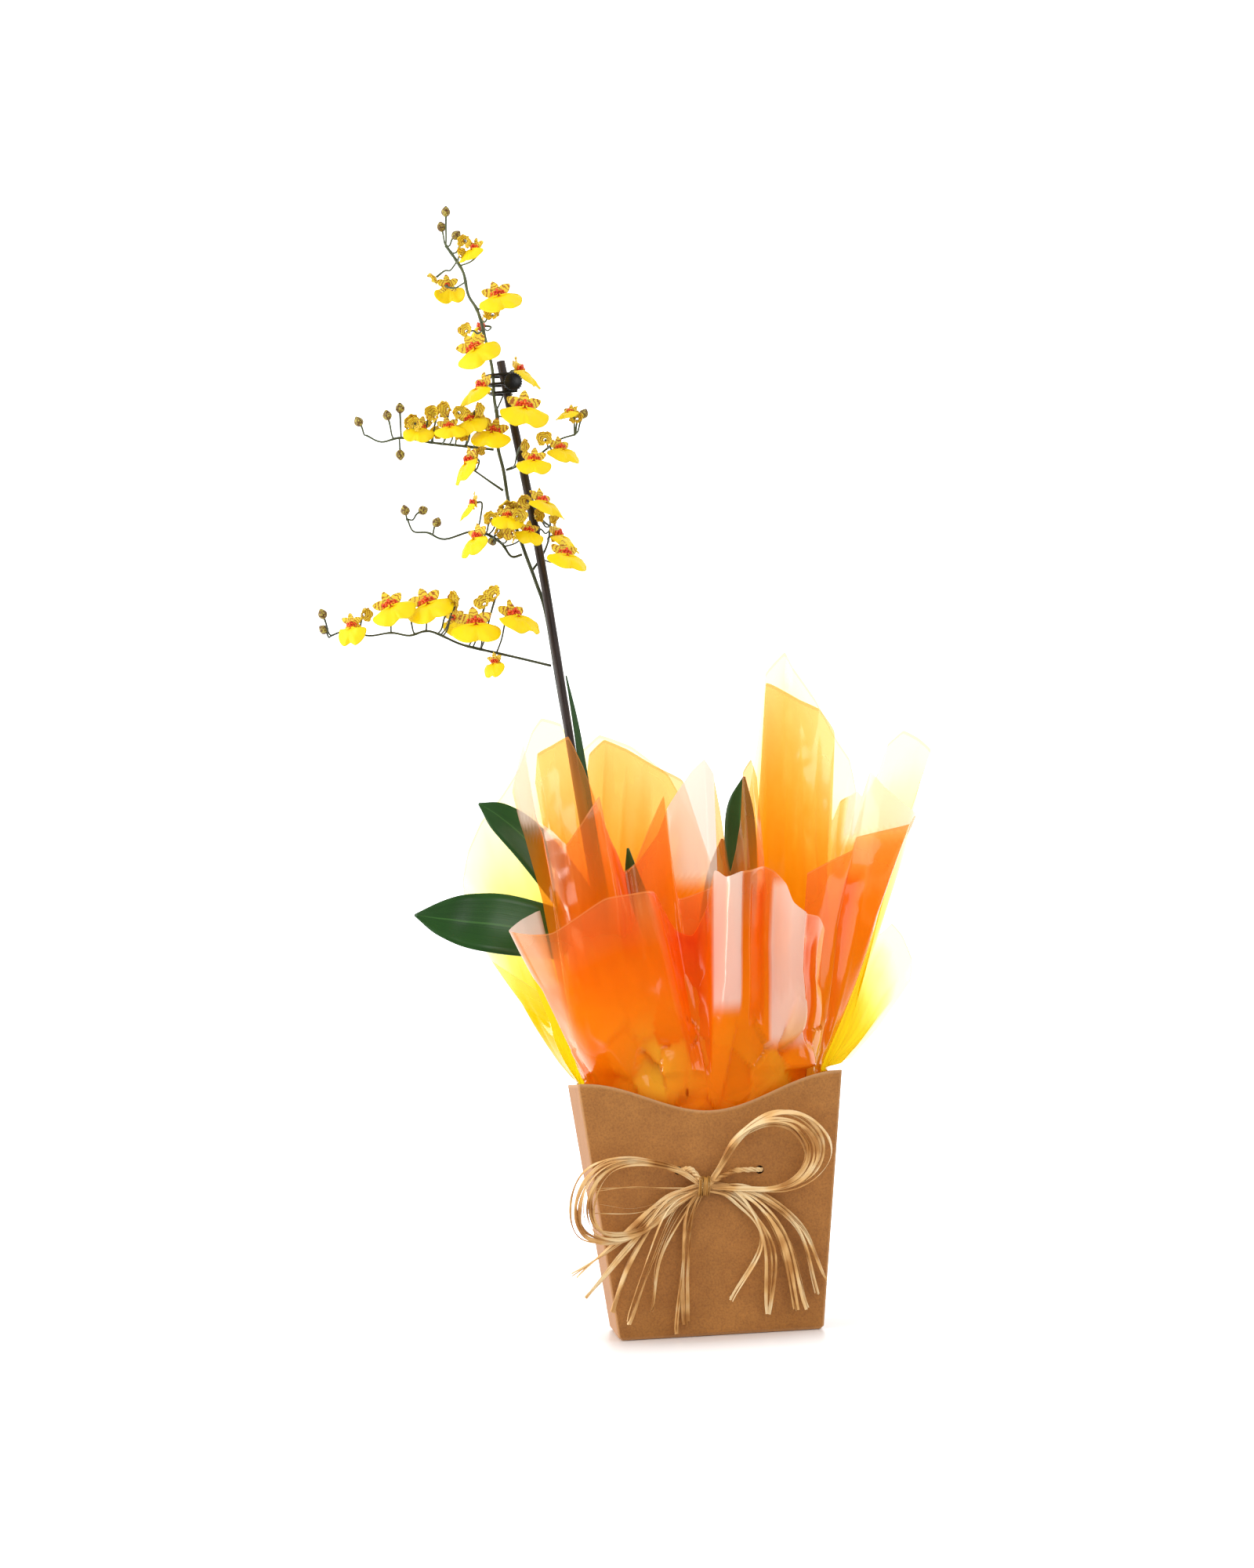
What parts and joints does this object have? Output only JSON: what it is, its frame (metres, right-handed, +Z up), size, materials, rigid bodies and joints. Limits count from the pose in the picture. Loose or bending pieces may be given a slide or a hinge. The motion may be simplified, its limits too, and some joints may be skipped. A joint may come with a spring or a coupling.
{
  "type": "potted oncidium orchid in a film-wrapped card box",
  "caption": "Yellow oncidium spray on a stake, in a pot gathered in orange and yellow see-through film that stands in a scooped kraft card box tied with a raffia bow.",
  "frame": {"origin": "centre of the card box's flat bottom", "axes": "+Z up, the box's front with the bow faces -Y, +X to the viewer's right"},
  "size_m": [0.334, 0.1693, 0.6242],
  "materials": {
    "bloom_yellow": "soft satin petals, tepals barred brown",
    "flower_stem": "smooth green-brown",
    "leaf_green": "satin, fine lengthwise veins",
    "pseudobulb_green": "satin",
    "orange_film": "clear glossy orange film",
    "yellow_film": "clear glossy yellow film",
    "kraft_card": "matt kraft card",
    "pot_plastic": "matt black",
    "bark": "rough chips",
    "raffia": "dry fibre, faint sheen",
    "stake_wood": "dark stained",
    "clip_plastic": "black"
  },
  "bodies": {
    "root": {"bark_mix": "bark", "bloom_01": "bloom_yellow", "bloom_02": "bloom_yellow", "bloom_03": "bloom_yellow", "bloom_04": "bloom_yellow", "bloom_05": "bloom_yellow", "bloom_06": "bloom_yellow", "bloom_07": "bloom_yellow", "bloom_08": "bloom_yellow", "bloom_09": "bloom_yellow", "bloom_10": "bloom_yellow", "bloom_11": "bloom_yellow", "bloom_12": "bloom_yellow", "bloom_13": "bloom_yellow", "bloom_14": "bloom_yellow", "bloom_15": "bloom_yellow", "bloom_16": "bloom_yellow", "bloom_17": "bloom_yellow", "bloom_18": "bloom_yellow", "bloom_19": "bloom_yellow", "bloom_20": "bloom_yellow", "bloom_21": "bloom_yellow", "bloom_22": "bloom_yellow", "bloom_23": "bloom_yellow", "bloom_24": "bloom_yellow", "bloom_25": "bloom_yellow", "bloom_26": "bloom_yellow", "bloom_27": "bloom_yellow", "bloom_28": "bloom_yellow", "bloom_29": "bloom_yellow", "bloom_30": "bloom_yellow", "branch_low_left": "flower_stem", "branch_mid_left": "flower_stem", "branch_right": "flower_stem", "branch_short_left": "flower_stem", "branch_upper_left": "flower_stem", "branch_upper_right": "flower_stem", "card_box": "kraft_card", "film_orange_back": "orange_film", "film_orange_front": "orange_film", "film_orange_left": "orange_film", "film_orange_middle": "orange_film", "film_orange_right": "orange_film", "film_yellow": "yellow_film", "leaf_back": "leaf_green", "leaf_big_left": "leaf_green", "leaf_right": "leaf_green", "leaf_short": "leaf_green", "leaf_upper_left": "leaf_green", "nursery_pot": "pot_plastic", "pseudobulb_back": "pseudobulb_green", "pseudobulb_left": "pseudobulb_green", "pseudobulb_right": "pseudobulb_green", "raffia_bow": "raffia", "spike_stem": "flower_stem", "stake": "stake_wood", "stake_clip": "clip_plastic", "stem_sheath": "leaf_green"}
  },
  "joints": []
}
